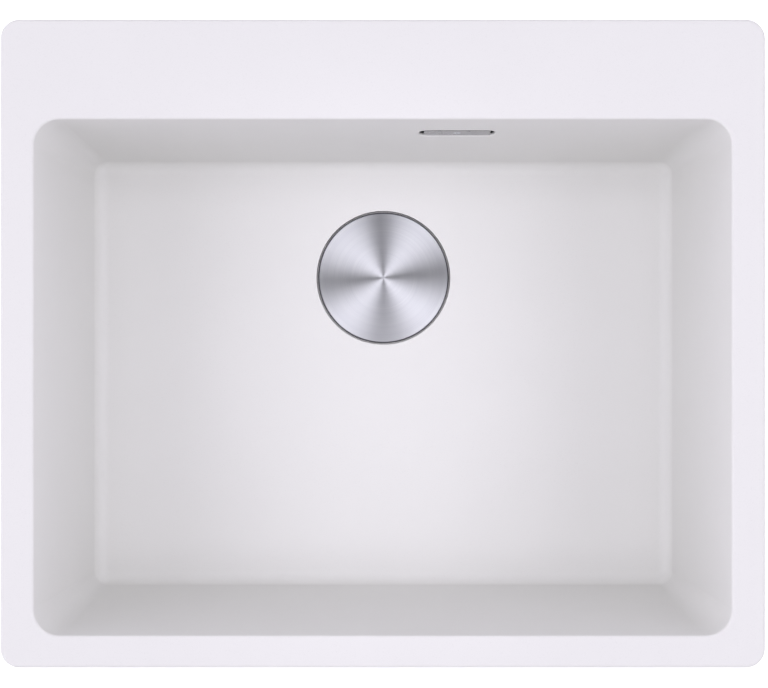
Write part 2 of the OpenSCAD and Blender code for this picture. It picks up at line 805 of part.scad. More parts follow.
// The hollow in it
module body_inside() {
    r = body_r - body_t;
    polygon(concat(
        [[0, outlet_z - over]],
        rounded([[outlet_in_r, outlet_z - over], [outlet_in_r, outlet_top_z + 2], [r, body_cone_z + 1],
            [r, body_top_z + over]], [0, 3, 6, 0]),
        [[0, body_top_z + over]]
    ));
}

// Three webs that carry the hub, and end inside the wall
module body_webs() {
    web_t = body_t - 0.5;
    intersection() {
        for (i = [0:2]) rotate([0, 0, 30 + i * 120]) translate([0, -web_t / 2, hub_z])
            cube([body_r, web_t, 0.85 * hub_h]);
        rotate_extrude() polygon([
            [0, outlet_z], [outlet_in_r + 1, outlet_z], [outlet_in_r + 1, outlet_top_z],
            [body_r - 1, body_cone_z], [body_r - 1, body_top_z], [0, body_top_z]
        ]);
    }
}

module waste_body() {
    color("whitesmoke") at_waste() {
        difference() {
            union() {
                rotate_extrude() body_outside();
                along_spigot(body_r / 5, lower_socket_d) circle(socket_out_r);
            }
            rotate_extrude() body_inside();
            along_spigot(body_r / 10, lower_socket_d) circle(pipe_in_r);
            along_spigot(lower_socket_d - socket_h, lower_socket_d + over) circle(socket_in_r);
        }
        difference() {
            union() {
                translate([0, 0, hub_z]) cylinder(r = hub_r, h = hub_h);
                body_webs();
            }
            translate([0, 0, hub_z - over]) cylinder(r = waste_screw_r + screw_gap, h = hub_h + 2 * over);
            translate([0, 0, hub_z - over]) cylinder(r = nut_r + fit_gap, h = hub_nut_h + over, $fn = 6);
        }
    }
}

// A flat shape drawn back along the spigot, from one distance to another from the waste's middle
module along_spigot(d0, d1) {
    translate([pipe_x, d1, pipe_z]) rotate([90, 0, 0]) linear_extrude(d1 - d0) children();
}

module waste_screw() {
    head_r = 2.5 * waste_screw_r;
    head_h = waste_screw_r;
    slot = 0.6 * waste_screw_r;
    color("silver") at_waste() difference() {
        union() {
            translate([0, 0, well_floor_z]) cylinder(r1 = head_r, r2 = 0.8 * head_r, h = head_h);
            translate([0, 0, hub_z - 2]) cylinder(r = waste_screw_r, h = well_floor_z - hub_z + head_h);
        }
        translate([-head_r - over, -slot / 2, well_floor_z + head_h / 2])
            cube([2 * (head_r + over), slot, head_h]);
    }
}

module waste_nut() {
    color("goldenrod") at_waste() translate([0, 0, hub_z]) difference() {
        cylinder(r = nut_r, h = hub_nut_h, $fn = 6);
        translate([0, 0, -over]) cylinder(r = waste_screw_r + fit_gap, h = hub_nut_h + 2 * over);
    }
}

// The strainer basket

module strainer_basket() {
    foot_r = 0.8 * basket_r;
    wall_r = basket_r - basket_t;
    side_z = basket_floor_z + 0.6 * basket_h;
    // Each ring of holes in the floor: its radius as a share of the basket's, and its number of holes
    rings = [[0.34, 8], [0.5, 12], [0.66, 16]];
    side_holes = 28;
    color("silver") at_waste() difference() {
        rotate_extrude() sheet(rounded(
            [[stem_r + screw_gap, basket_floor_z], [foot_r, basket_floor_z],
                [wall_r, basket_floor_z + 0.37 * basket_h], [wall_r, basket_top_z],
                [basket_r + basket_lip, basket_top_z]],
            [0, 4, 4, 1.2, 0]
        ), -basket_t);
        for (ring = rings, i = [0:ring[1] - 1]) rotate([0, 0, (i + 0.5) * 360 / ring[1]])
            translate([ring[0] * basket_r, 0, basket_floor_z - 2 * basket_t])
                cylinder(r = strain_r, h = 4 * basket_t);
        for (i = [0:side_holes - 1]) rotate([0, 0, i * 360 / side_holes])
            translate([wall_r - 2 * basket_t, 0, side_z]) rotate([0, 90, 0])
                cylinder(r = strain_r, h = 4 * basket_t);
    }
}

module basket_stem() {
    low = throat_z - 1;
    knob_z = knob_top_z - knob_h;
    color("gainsboro") at_waste() rotate_extrude() polygon(concat(
        [[0, low], [stem_r - 1, low], [stem_r, low + 1], [stem_r, knob_z - 2]],
        rounded([[stem_r, knob_z - 1], [knob_r, knob_z], [knob_r, knob_top_z], [0, knob_top_z]],
            [0, 1, 1.5, 0])
    ));
}

// The rubber plug under the basket, shaped to the well's sloping seat
module basket_plug() {
    slope = [well_in_r - throat_in_r, seat_slope_h];
    seat = [throat_in_r, throat_z] + left_of(unit(slope)) * run_gap;
    low = throat_z + 0.5;
    top = basket_floor_z - basket_t - fit_gap;
    out = seat + slope / 2;
    color("dimgray") at_waste() rotate_extrude() polygon([
        [stem_r + fit_gap, low], [seat[0] - 3, low], seat + slope * 0.12, out, [out[0] - 0.5, top],
        [stem_r + fit_gap, top]
    ]);
}

module stem_nut() {
    color("gainsboro") at_waste()
        tube(2 * stem_r, stem_r + fit_gap, basket_floor_z + fit_gap, basket_floor_z + 0.75 * stem_r);
}

// The cover

module cover_plate() {
    low = waste_z - cover_skirt_h;
    in_r = cover_r - cover_t;
    color("silver") at_waste() rotate_extrude() polygon([
        [0, cover_under_z], [in_r - 1, cover_under_z], [in_r, cover_under_z - 1], [in_r, low],
        [cover_r, low], [cover_r, waste_z - cover_bevel], [cover_r - cover_bevel, waste_z], [0, waste_z]
    ]);
}

module cover_post() {
    color("gainsboro") at_waste() tube(0.8 * knob_r, 0.6 * knob_r, knob_top_z + run_gap, cover_under_z);
}

// The worktop clamps, each drawn about its own screw

module clamp_inserts() {
    color("goldenrod") for (c = CLAMPS) translate([c[0][0], c[0][1], 0])
        tube(insert_r, clamp_screw_r + fit_gap, -clamp_boss_h, -clamp_boss_h + insert_h);
}

module clamp_screw() {
    head_z = jaw_z - run_gap - clamp_head_h;
    head_r = 1.76 * clamp_screw_r;
    color("silver") difference() {
        union() {
            translate([0, 0, head_z]) cylinder(r1 = 0.82 * head_r, r2 = head_r, h = clamp_head_h);
            translate([0, 0, head_z]) cylinder(r = clamp_screw_r, h = screw_tip_z - head_z);
            translate([0, 0, jaw_z + jaw_t + run_gap]) cylinder(r = 1.6 * clamp_screw_r, h = collar_h);
        }
        translate([0, 0, head_z]) rotate([180, 0, 0])
            cross_slot(1.2 * head_r, 0.23 * head_r, clamp_head_h / 2);
    }
}

// A jaw that points along +X, with turned-up sides and a toothed toe
module clamp_jaw() {
    teeth = 3;
    pitch = jaw_w / teeth;
    lip_t = 0.75 * jaw_t;
    lip_h = 1.5 * jaw_t;
    toe_x = jaw_reach - jaw_t;
    color("silver") translate([0, 0, jaw_z]) difference() {
        union() {
            cylinder(r = jaw_w / 2, h = jaw_t);
            translate([0, -jaw_w / 2, 0]) cube([jaw_reach, jaw_w, jaw_t]);
            for (s = [-1, 1]) translate([jaw_w, s * (jaw_w - lip_t) / 2 - lip_t / 2, 0])
                cube([jaw_reach - jaw_w, lip_t, jaw_t + lip_h]);
            translate([toe_x, -jaw_w / 2, 0]) cube([jaw_t, jaw_w, jaw_toe_h]);
        }
        translate([0, 0, -over]) cylinder(r = jaw_hole_r, h = jaw_t + 2 * over);
        for (i = [0:teeth]) translate([toe_x - over, -jaw_w / 2 + i * pitch, jaw_toe_h]) rotate([0, 90, 0])
            linear_extrude(jaw_t + 2 * over) polygon([
                [-over, -pitch / 2], [0, -pitch / 2], [pitch / 2, 0], [0, pitch / 2], [-over, pitch / 2]
            ]);
    }
}

basin();
overflow_cover();
overflow_cover_screw();
overflow_gasket();
overflow_housing();
overflow_housing_screws();
overflow_pipe();
color("whitesmoke") at_upper_union() union_nut();  // upper_union_nut
color("dimgray") at_upper_union() union_seal();  // upper_union_seal
color("whitesmoke") at_lower_union() union_nut();  // lower_union_nut
color("dimgray") at_lower_union() union_seal();  // lower_union_seal
waste_flange();
flange_seal();
lower_seal();
waste_body();
waste_screw();
waste_nut();
clamp_inserts();
strainer_basket();
basket_stem();
basket_plug();
stem_nut();
cover_plate();
cover_post();
for (i = [0:len(CLAMPS) - 1]) {
    translate([CLAMPS[i][0][0], CLAMPS[i][0][1], 0]) clamp_screw();
    translate([CLAMPS[i][0][0], CLAMPS[i][0][1], 0]) rotate([0, 0, CLAMPS[i][1]]) clamp_jaw();
}
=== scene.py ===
"""Looks of an inset composite kitchen sink: its finishes, cut threads, studio and camera.

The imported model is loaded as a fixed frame. Every piece keeps the place and size that the frame gives
it, and all lengths here are in metres.
"""

import json
import logging
import math
from collections.abc import Mapping
from dataclasses import dataclass
from enum import Enum
from typing import Any, Protocol

import bmesh
import bpy
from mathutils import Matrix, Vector

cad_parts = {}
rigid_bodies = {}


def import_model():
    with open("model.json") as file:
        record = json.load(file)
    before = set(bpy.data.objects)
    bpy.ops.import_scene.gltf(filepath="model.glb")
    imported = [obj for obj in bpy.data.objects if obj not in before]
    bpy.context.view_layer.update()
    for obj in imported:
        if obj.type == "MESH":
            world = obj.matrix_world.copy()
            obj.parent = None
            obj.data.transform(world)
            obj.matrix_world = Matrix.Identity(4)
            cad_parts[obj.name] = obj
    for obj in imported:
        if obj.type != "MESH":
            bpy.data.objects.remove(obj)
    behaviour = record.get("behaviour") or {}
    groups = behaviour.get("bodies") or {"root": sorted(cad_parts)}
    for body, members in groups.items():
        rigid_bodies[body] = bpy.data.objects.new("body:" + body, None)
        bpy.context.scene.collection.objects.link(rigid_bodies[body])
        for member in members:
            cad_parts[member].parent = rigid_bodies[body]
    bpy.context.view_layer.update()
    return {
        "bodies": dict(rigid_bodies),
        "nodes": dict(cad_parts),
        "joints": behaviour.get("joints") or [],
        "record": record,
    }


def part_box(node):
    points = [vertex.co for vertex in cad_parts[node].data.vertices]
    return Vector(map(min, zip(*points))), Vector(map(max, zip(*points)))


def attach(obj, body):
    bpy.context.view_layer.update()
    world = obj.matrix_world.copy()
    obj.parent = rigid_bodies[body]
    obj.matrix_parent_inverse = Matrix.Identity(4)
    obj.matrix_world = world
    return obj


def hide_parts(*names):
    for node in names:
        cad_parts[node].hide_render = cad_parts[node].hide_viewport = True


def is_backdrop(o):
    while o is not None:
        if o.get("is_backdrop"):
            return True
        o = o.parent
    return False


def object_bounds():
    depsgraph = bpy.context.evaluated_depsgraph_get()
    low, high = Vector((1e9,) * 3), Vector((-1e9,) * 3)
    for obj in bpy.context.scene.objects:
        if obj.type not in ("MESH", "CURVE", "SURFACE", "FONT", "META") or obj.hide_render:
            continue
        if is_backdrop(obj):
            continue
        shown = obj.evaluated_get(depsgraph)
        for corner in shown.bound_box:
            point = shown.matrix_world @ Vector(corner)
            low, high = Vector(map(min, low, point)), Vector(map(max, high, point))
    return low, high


log = logging.getLogger("sink")

Colour = tuple[float, float, float]
Point = tuple[float, float, float]
Span = tuple[float, float]

MM = 0.001


class Wire:
    """A shader value: one output socket, with arithmetic on it."""

    def __init__(self, graph: "Graph", socket: bpy.types.NodeSocket) -> None:
        """Wraps a socket.

        Args:
            graph: The graph that the socket belongs to.
            socket: The output socket.
        """
        self.graph = graph
        self.socket = socket

    def _math(self, operation: str, first: Any, second: Any = 0.0) -> "Wire":
        """Adds one Math node.

        Args:
            operation: The node's operation.
            first: Its first value, a number or a Wire.
            second: Its second value, a number or a Wire.

        Returns:
            The node's result.
        """
        return self.graph.wire("ShaderNodeMath", {"operation": operation}, {0: first, 1: second})

    def __add__(self, other: Any) -> "Wire":
        """Returns self + other."""
        return self._math("ADD", self, other)

    __radd__ = __add__

    def __sub__(self, other: Any) -> "Wire":
        """Returns self - other."""
        return self._math("SUBTRACT", self, other)

    def __rsub__(self, other: Any) -> "Wire":
        """Returns other - self."""
        return self._math("SUBTRACT", other, self)

    def __mul__(self, other: Any) -> "Wire":
        """Returns self * other."""
        return self._math("MULTIPLY", self, other)

    __rmul__ = __mul__

    def __truediv__(self, other: Any) -> "Wire":
        """Returns self / other."""
        return self._math("DIVIDE", self, other)

    def __rtruediv__(self, other: Any) -> "Wire":
        """Returns other / self."""
        return self._math("DIVIDE", other, self)

    def __pow__(self, power: Any) -> "Wire":
        """Returns self to a power."""
        return self._math("POWER", self, power)

    def sine(self) -> "Wire":
        """Returns the sine of self."""
        return self._math("SINE", self)

    def angle_from(self, other: "Wire") -> "Wire":
        """Returns the angle whose tangent is self over other, in radians."""
        return self._math("ARCTAN2", self, other)

    def ramp(self, low: float, high: float) -> "Wire":
        """Adds a smooth step.

        Args:
            low: Where the step starts, at 0.
            high: Where the step ends, at 1.

        Returns:
            The step.
        """
        return self.graph.wire(
            "ShaderNodeMapRange",
            {"interpolation_type": "SMOOTHSTEP"},
            {"Value": self, "From Min": low, "From Max": high},
        )


class Graph:
    """The node tree of one material, or of the world, while it is being made."""

    def __init__(self, tree: bpy.types.NodeTree) -> None:
        """Empties a tree.

        Args:
            tree: The tree to build in.
        """
        self.tree = tree
        tree.nodes.clear()

    def node(
        self,
        kind: str,
        settings: Mapping[str, Any] | None = None,
        sockets: Mapping[Any, Any] | None = None,
    ) -> bpy.types.Node:
        """Adds any node.

        Args:
            kind: The node's type.
            settings: Its own settings, which are set first.
            sockets: A value or a Wire for each input, by the input's name or number.

        Returns:
            The new node.
        """
        made = self.tree.nodes.new(kind)
        for key, value in (settings or {}).items():
            setattr(made, key, value)
        for key, value in (sockets or {}).items():
            if isinstance(value, Wire):
                self.tree.links.new(value.socket, made.inputs[key])
            else:
                made.inputs[key].default_value = value
        return made

    def wire(
        self,
        kind: str,
        settings: Mapping[str, Any] | None = None,
        sockets: Mapping[Any, Any] | None = None,
        output: Any = 0,
    ) -> Wire:
        """Adds any node and returns one of its outputs.

        Args:
            kind: The node's type.
            settings: Its own settings.
            sockets: A value or a Wire for each input.
            output: The output's name or number.

        Returns:
            The output, as a Wire.
        """
        return Wire(self, self.node(kind, settings, sockets).outputs[output])

    def place(self) -> Wire:
        """Returns the point on the surface, in the frame's metres."""
        return self.wire("ShaderNodeTexCoord", output="Object")

    def axes(self, vector: Wire) -> tuple[Wire, Wire, Wire]:
        """Returns a vector's X, Y and Z."""
        parts = self.node("ShaderNodeSeparateXYZ", sockets={0: vector})
        return tuple(Wire(self, output) for output in parts.outputs)

    def vector(self, x: Any, y: Any = 0.0, z: Any = 0.0) -> Wire:
        """Returns a vector made of numbers or Wires."""
        return self.wire("ShaderNodeCombineXYZ", sockets={0: x, 1: y, 2: z})

    def noise(self, vector: Wire, grain: float, detail: float = 2.0, distortion: float = 0.0) -> Wire:
        """Adds cloudy noise.

        Args:
            vector: Where to look it up.
            grain: The size of its blotches, in the vector's units.
            detail: How many finer layers it has.
            distortion: How much it swirls.

        Returns:
            The noise, about 0.5 on average.
        """
        sockets = {"Vector": vector, "Scale": 1 / grain, "Detail": detail, "Distortion": distortion}
        return self.wire("ShaderNodeTexNoise", sockets=sockets)

    def mix(self, factor: Any, low: Any, high: Any) -> Wire:
        """Mixes two colours.

        Args:
            factor: 0 gives low and 1 gives high.
            low: A colour or a Wire.
            high: A colour or a Wire.

        Returns:
            The mixed colour.
        """
        first, second = ((*c, 1.0) if isinstance(c, tuple) else c for c in (low, high))
        sockets = {0: factor, 6: first, 7: second}
        return self.wire("ShaderNodeMix", {"data_type": "RGBA"}, sockets, output=2)

    def bump(self, height: Wire, depth: float, normal: Wire | None = None) -> Wire:
        """Turns a height into a normal.

        Args:
            height: The height, from 0 to 1.
            depth: What a height of 1 stands for.
            normal: The coarser normal that it lies on, if any.

        Returns:
            The normal.
        """
        under = {} if normal is None else {"Normal": normal}
        return self.wire("ShaderNodeBump", sockets={"Height": height, "Distance": depth, **under})


class Finish(Protocol):
    """What every finish offers."""

    def paint(self, graph: Graph) -> dict[str, Any]:
        """Returns a value or a Wire for each of the shader's sockets."""


def make_material(finish: Finish) -> bpy.types.Material:
    """Makes a finish's material.

    Args:
        finish: The finish.

    Returns:
        The material, named after the finish's class.
    """
    material = bpy.data.materials.new(type(finish).__name__)
    material.use_nodes = True
    graph = Graph(material.node_tree)
    shader = graph.wire("ShaderNodeBsdfPrincipled", sockets=finish.paint(graph))
    graph.node("ShaderNodeOutputMaterial", sockets={"Surface": shader})
    return material


@dataclass(frozen=True)
class Composite:
    """White cast composite: fine matt where it shows, greyer, rougher and a little stained below."""

    face: Colour = (0.822, 0.826, 0.792)
    fleck: Colour = (0.690, 0.694, 0.668)
    raw: Colour = (0.700, 0.700, 0.680)
    stain: Colour = (0.620, 0.615, 0.590)
    raw_slope: Span = (-0.2, 0.25)
    mould_slope: Span = (-0.02, 0.06)
    fleck_size: float = 0.9 * MM
    fleck_span: Span = (0.62, 0.72)
    fleck_share: float = 0.22
    cloud_size: float = 60 * MM
    cloud_span: Span = (0.3, 0.8)
    cloud_share: float = 0.05
    grain_size: float = 0.45 * MM
    grain_depth: float = 0.02 * MM
    raw_grain_size: float = 3.5 * MM
    raw_grain_depth: float = 0.25 * MM
    raw_grain_span: Span = (0.5, 0.75)
    raw_grain_share: float = 0.4
    stain_size: float = 26 * MM
    stain_span: Span = (0.35, 0.8)
    stain_share: float = 0.35
    raw_wave_depth: float = 0.18 * MM
    roughness: float = 0.5
    raw_roughness: float = 0.25
    roughness_spread: float = 0.08
    specular: float = 0.4

    def paint(self, graph: Graph) -> dict[str, Any]:
        """Paints the casting, its raw side by the way that the surface faces.

        Args:
            graph: The material's graph.

        Returns:
            A value or a Wire for each of the shader's sockets.
        """
        place = graph.place()
        _, _, up = graph.axes(graph.wire("ShaderNodeNewGeometry", output="Normal"))
        hidden = (0 - up).ramp(*self.raw_slope)
        mould_side = (0 - up).ramp(*self.mould_slope)
        flecks = graph.noise(place, self.fleck_size, detail=1.0).ramp(*self.fleck_span)
        clouds = graph.noise(place, self.cloud_size, detail=3.0)
        face = graph.mix(flecks * self.fleck_share, self.face, self.fleck)
        face = graph.mix(clouds.ramp(*self.cloud_span) * self.cloud_share, face, self.fleck)
        grain = graph.noise(place, self.grain_size, detail=2.0)
        raw_grain = graph.noise(place, self.raw_grain_size, detail=4.0)
        stains = graph.noise(place, self.stain_size, detail=6.0, distortion=0.8)
        wave = graph.bump(stains * mould_side, self.raw_wave_depth)
        fine = graph.bump(grain, self.grain_depth, normal=wave)
        grey = raw_grain.ramp(*self.raw_grain_span) * self.raw_grain_share
        specks = (grey + stains.ramp(*self.stain_span) * self.stain_share) * mould_side
        rough = self.roughness + hidden * self.raw_roughness
        return {
            "Base Color": graph.mix(specks, graph.mix(hidden, face, self.raw), self.stain),
            "Roughness": rough + (clouds - 0.5) * self.roughness_spread,
            "Specular IOR Level": self.specular,
            "Normal": graph.bump(raw_grain * hidden, self.raw_grain_depth, normal=fine),
        }


@dataclass(frozen=True)
class TurnedSteel:
    """Stainless steel brushed in circles about one upright axis, with painted shade at its bevelled
    edge.

    Its face is shaded as if it were a little dished.
    """

    centre: Point
    radius: float
    pale: Colour = (0.78, 0.80, 0.80)
    dark: Colour = (0.71, 0.73, 0.74)
    painted_gap_shade: Colour = (0.18, 0.18, 0.20)
    gap_shade_width: float = 1.4 * MM
    gap_shade_fade: float = 0.5 * MM
    line_size: float = 0.35 * MM
    line_drift: float = 0.5
    line_share: float = 0.6
    band_size: float = 5 * MM
    band_share: float = 0.4
    shade_span: Span = (0.3, 0.7)
    roughness: float = 0.3
    roughness_spread: float = 0.04
    groove_depth: float = 0.004 * MM
    dish_depth: float = 1.2 * MM

    def paint(self, graph: Graph) -> dict[str, Any]:
        """Paints the brushed disc.

        Args:
            graph: The material's graph.

        Returns:
            A value or a Wire for each of the shader's sockets.
        """
        x, y, _ = graph.axes(graph.place())
        from_x = x - self.centre[0]
        from_y = y - self.centre[1]
        radius = (from_x * from_x + from_y * from_y) ** 0.5
        turn = from_y.angle_from(from_x)
        along = turn * self.line_size * self.line_drift
        lines = graph.noise(graph.vector(radius, along), self.line_size, detail=2.0)
        bands = graph.noise(graph.vector(radius), self.band_size, detail=2.0)
        shade = (lines * self.line_share + bands * self.band_share).ramp(*self.shade_span)
        face = graph.mix(shade, self.dark, self.pale)
        # Painted shade: the colour goes dark in a ring at the bevelled edge, for the shadow in the gap
        # around the cover.
        inner = self.radius - self.gap_shade_width
        dish = graph.bump((radius / self.radius) ** 2, self.dish_depth)
        return {
            "Base Color": graph.mix(radius.ramp(inner, inner + self.gap_shade_fade), face, self.painted_gap_shade),
            "Metallic": 1.0,
            "Roughness": self.roughness + (bands - 0.5) * self.roughness_spread,
            "Anisotropic": 1.0,
            "Normal": graph.bump(lines, self.groove_depth, normal=dish),
        }


@dataclass(frozen=True)
class PressedSteel:
    """Satin stainless sheet, pressed to shape, with faint drawing marks."""

    pale: Colour = (0.70, 0.70, 0.72)
    dark: Colour = (0.63, 0.63, 0.65)
    mark_size: float = 0.9 * MM
    mark_depth: float = 0.003 * MM
    mark_share: float = 0.7
    around: float = 0.25
    upward: float = 2.5
    cloud_size: float = 14 * MM
    cloud_share: float = 0.3
    shade_span: Span = (0.3, 0.7)
    roughness: float = 0.28
    roughness_spread: float = 0.1

    def paint(self, graph: Graph) -> dict[str, Any]:
        """Paints the sheet, with marks that are long around and short upwards.

        Args:
            graph: The material's graph.

        Returns:
            A value or a Wire for each of the shader's sockets.
        """
        x, y, z = graph.axes(graph.place())
        squeezed = graph.vector(x * self.around, y * self.around, z * self.upward)
        marks = graph.noise(squeezed, self.mark_size, detail=4.0)
        clouds = graph.noise(graph.place(), self.cloud_size, detail=3.0)
        shade = (marks * self.mark_share + clouds * self.cloud_share).ramp(*self.shade_span)
        return {
            "Base Color": graph.mix(shade, self.dark, self.pale),
            "Metallic": 1.0,
            "Roughness": self.roughness + (clouds - 0.5) * self.roughness_spread,
            "Normal": graph.bump(marks, self.mark_depth),
        }


@dataclass(frozen=True)
class ZincPlate:
    """Steel with bright blue-white zinc on it."""

    bright: Colour = (0.68, 0.71, 0.75)
    dull: Colour = (0.50, 0.51, 0.53)
    tint: Colour = (0.62, 0.60, 0.52)
    crystal_size: float = 1.6 * MM
    crystal_depth: float = 0.01 * MM
    crystal_span: Span = (0.35, 0.7)
    cloud_size: float = 9 * MM
    tint_span: Span = (0.5, 0.8)
    tint_share: float = 0.5
    roughness: float = 0.26
    roughness_spread: float = 0.2

    def paint(self, graph: Graph) -> dict[str, Any]:
        """Paints the zinc.

        Args:
            graph: The material's graph.

        Returns:
            A value or a Wire for each of the shader's sockets.
        """
        place = graph.place()
        crystals = graph.noise(place, self.crystal_size, detail=3.0)
        clouds = graph.noise(place, self.cloud_size, detail=2.0)
        zinc = graph.mix(crystals.ramp(*self.crystal_span), self.bright, self.dull)
        return {
            "Base Color": graph.mix(clouds.ramp(*self.tint_span) * self.tint_share, zinc, self.tint),
            "Metallic": 1.0,
            "Roughness": self.roughness + crystals * self.roughness_spread,
            "Normal": graph.bump(crystals, self.crystal_depth),
        }


@dataclass(frozen=True)
class TurnedBrass:
    """Plain brass as it comes off the lathe."""

    bright: Colour = (0.80, 0.60, 0.28)
    dull: Colour = (0.55, 0.38, 0.16)
    ring_size: float = 0.5 * MM
    ring_depth: float = 0.01 * MM
    cloud_size: float = 6 * MM
    cloud_span: Span = (0.35, 0.75)
    roughness: float = 0.3
    roughness_spread: float = 0.15

    def paint(self, graph: Graph) -> dict[str, Any]:
        """Paints the brass.

        Args:
            graph: The material's graph.

        Returns:
            A value or a Wire for each of the shader's sockets.
        """
        _, _, z = graph.axes(graph.place())
        rings = graph.noise(graph.vector(z), self.ring_size, detail=2.0)
        clouds = graph.noise(graph.place(), self.cloud_size, detail=3.0)
        return {
            "Base Color": graph.mix(clouds.ramp(*self.cloud_span), self.bright, self.dull),
            "Metallic": 1.0,
            "Roughness": self.roughness + rings * self.roughness_spread,
            "Normal": graph.bump(rings, self.ring_depth),
        }


@dataclass(frozen=True)
class BlackRubber:
    """Moulded black rubber with a little bloom on it."""

    body: Colour = (0.022, 0.022, 0.024)
    bloom: Colour = (0.075, 0.075, 0.080)
    grain_size: float = 0.5 * MM
    grain_depth: float = 0.03 * MM
    cloud_size: float = 8 * MM
    bloom_span: Span = (0.35, 0.8)
    roughness: float = 0.62
    roughness_spread: float = 0.2

    def paint(self, graph: Graph) -> dict[str, Any]:
        """Paints the rubber.

        Args:
            graph: The material's graph.

        Returns:
            A value or a Wire for each of the shader's sockets.
        """
        place = graph.place()
        clouds = graph.noise(place, self.cloud_size, detail=4.0)
        grain = graph.noise(place, self.grain_size, detail=2.0)
        return {
            "Base Color": graph.mix(clouds.ramp(*self.bloom_span), self.body, self.bloom),
            "Roughness": self.roughness + (grain - 0.5) * self.roughness_spread,
            "Normal": graph.bump(grain, self.grain_depth),
        }


@dataclass(frozen=True)
class MouldedPlastic:
    """Moulded polypropylene with a fine spark-eroded grain and slight flow marks."""

    body: Colour
    flow: Colour
    grain_size: float = 0.4 * MM
    grain_depth: float = 0.018 * MM
    flow_size: float = 22 * MM
    flow_span: Span = (0.35, 0.75)
    upward: float = 0.35
    roughness: float = 0.42
    roughness_spread: float = 0.16
    specular: float = 0.45

    def paint(self, graph: Graph) -> dict[str, Any]:
        """Paints the plastic, with flow marks that are long upwards.

        Args:
            graph: The material's graph.

        Returns:
            A value or a Wire for each of the shader's sockets.
        """
        x, y, z = graph.axes(graph.place())
        stretched = graph.vector(x, y, z * self.upward)
        flow = graph.noise(stretched, self.flow_size, detail=3.0, distortion=0.6)
        grain = graph.noise(graph.place(), self.grain_size, detail=2.0)
        return {
            "Base Color": graph.mix(flow.ramp(*self.flow_span), self.body, self.flow),
            "Roughness": self.roughness + (grain - 0.5) * self.roughness_spread,
            "Specular IOR Level": self.specular,
            "Normal": graph.bump(grain, self.grain_depth),
        }


class Stock(Enum):
    """The finishes that the sink is made in.

    All but the steel with painted shade, a darker copy of the pressed steel for the overflow's cover,
    are slots of the record too.
    """

    COMPOSITE = "composite"
    BRUSHED = "brushed_steel"
    PRESSED = "pressed_steel"
    SHADED = "painted_shade_steel"
    ZINC = "zinc_steel"
    BRASS = "brass"
    RUBBER = "seal_rubber"
    WHITE_PLASTIC = "white_plastic"
    GREY_PLASTIC = "grey_plastic"


class Workshop:
    """Holds the frame and one material for each kind of stock, and dresses pieces in them."""

    def __init__(self, frame: Mapping[str, Any]) -> None:
        """Makes the materials.
        """
        self.nodes: Mapping[str, bpy.types.Object] = frame["nodes"]
        low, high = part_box("cover_plate")
        brushed = TurnedSteel(centre=tuple((low + high) / 2), radius=(high.x - low.x) / 2)
        finishes: dict[Stock, Finish] = {
            Stock.COMPOSITE: Composite(),
            Stock.BRUSHED: brushed,
            Stock.PRESSED: PressedSteel(),
            # Painted shade: a darker copy of the pressed steel, which makes the overflow's cover render
            # as if in shade.
            Stock.SHADED: PressedSteel(pale=(0.31, 0.31, 0.32), dark=(0.25, 0.25, 0.26)),
            Stock.ZINC: ZincPlate(),
            Stock.BRASS: TurnedBrass(),
            Stock.RUBBER: BlackRubber(),
            Stock.WHITE_PLASTIC: MouldedPlastic(body=(0.80, 0.80, 0.78), flow=(0.72, 0.72, 0.70)),
            Stock.GREY_PLASTIC: MouldedPlastic(body=(0.12, 0.125, 0.135), flow=(0.09, 0.094, 0.10)),
        }
        self.materials = {stock: make_material(finish) for stock, finish in finishes.items()}

    def dress(self, node: str, stock: Stock) -> None:
        """Gives a frame node its material.

        Args:
            node: The node's name.
            stock: What it is made of.
        """
        self._coat(self.nodes[node], stock)
        log.info("dressed %s in %s", node, stock.value)

    def add(self, name: str, mesh: bpy.types.Mesh, body: str, stock: Stock) -> bpy.types.Object:
        """Adds a new piece to the object.

        Args:
            name: The piece's name.
            mesh: Its mesh, in the frame's metres.
            body: The body that it rides on.
            stock: What it is made of.

        Returns:
            The new object.
        """
        piece = bpy.data.objects.new(name, mesh)
        bpy.context.scene.collection.objects.link(piece)
        self._coat(piece, stock)
        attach(piece, body)
        log.info("made %s, %d faces, on %s", name, len(mesh.polygons), body)
        return piece

    def _coat(self, piece: bpy.types.Object, stock: Stock) -> None:
        """Puts a material in a piece's only slot and shades its curved faces smooth.

        Args:
            piece: The piece.
            stock: What it is made of.
        """
        piece.data.materials.clear()
        piece.data.materials.append(self.materials[stock])
        piece.data.shade_smooth()


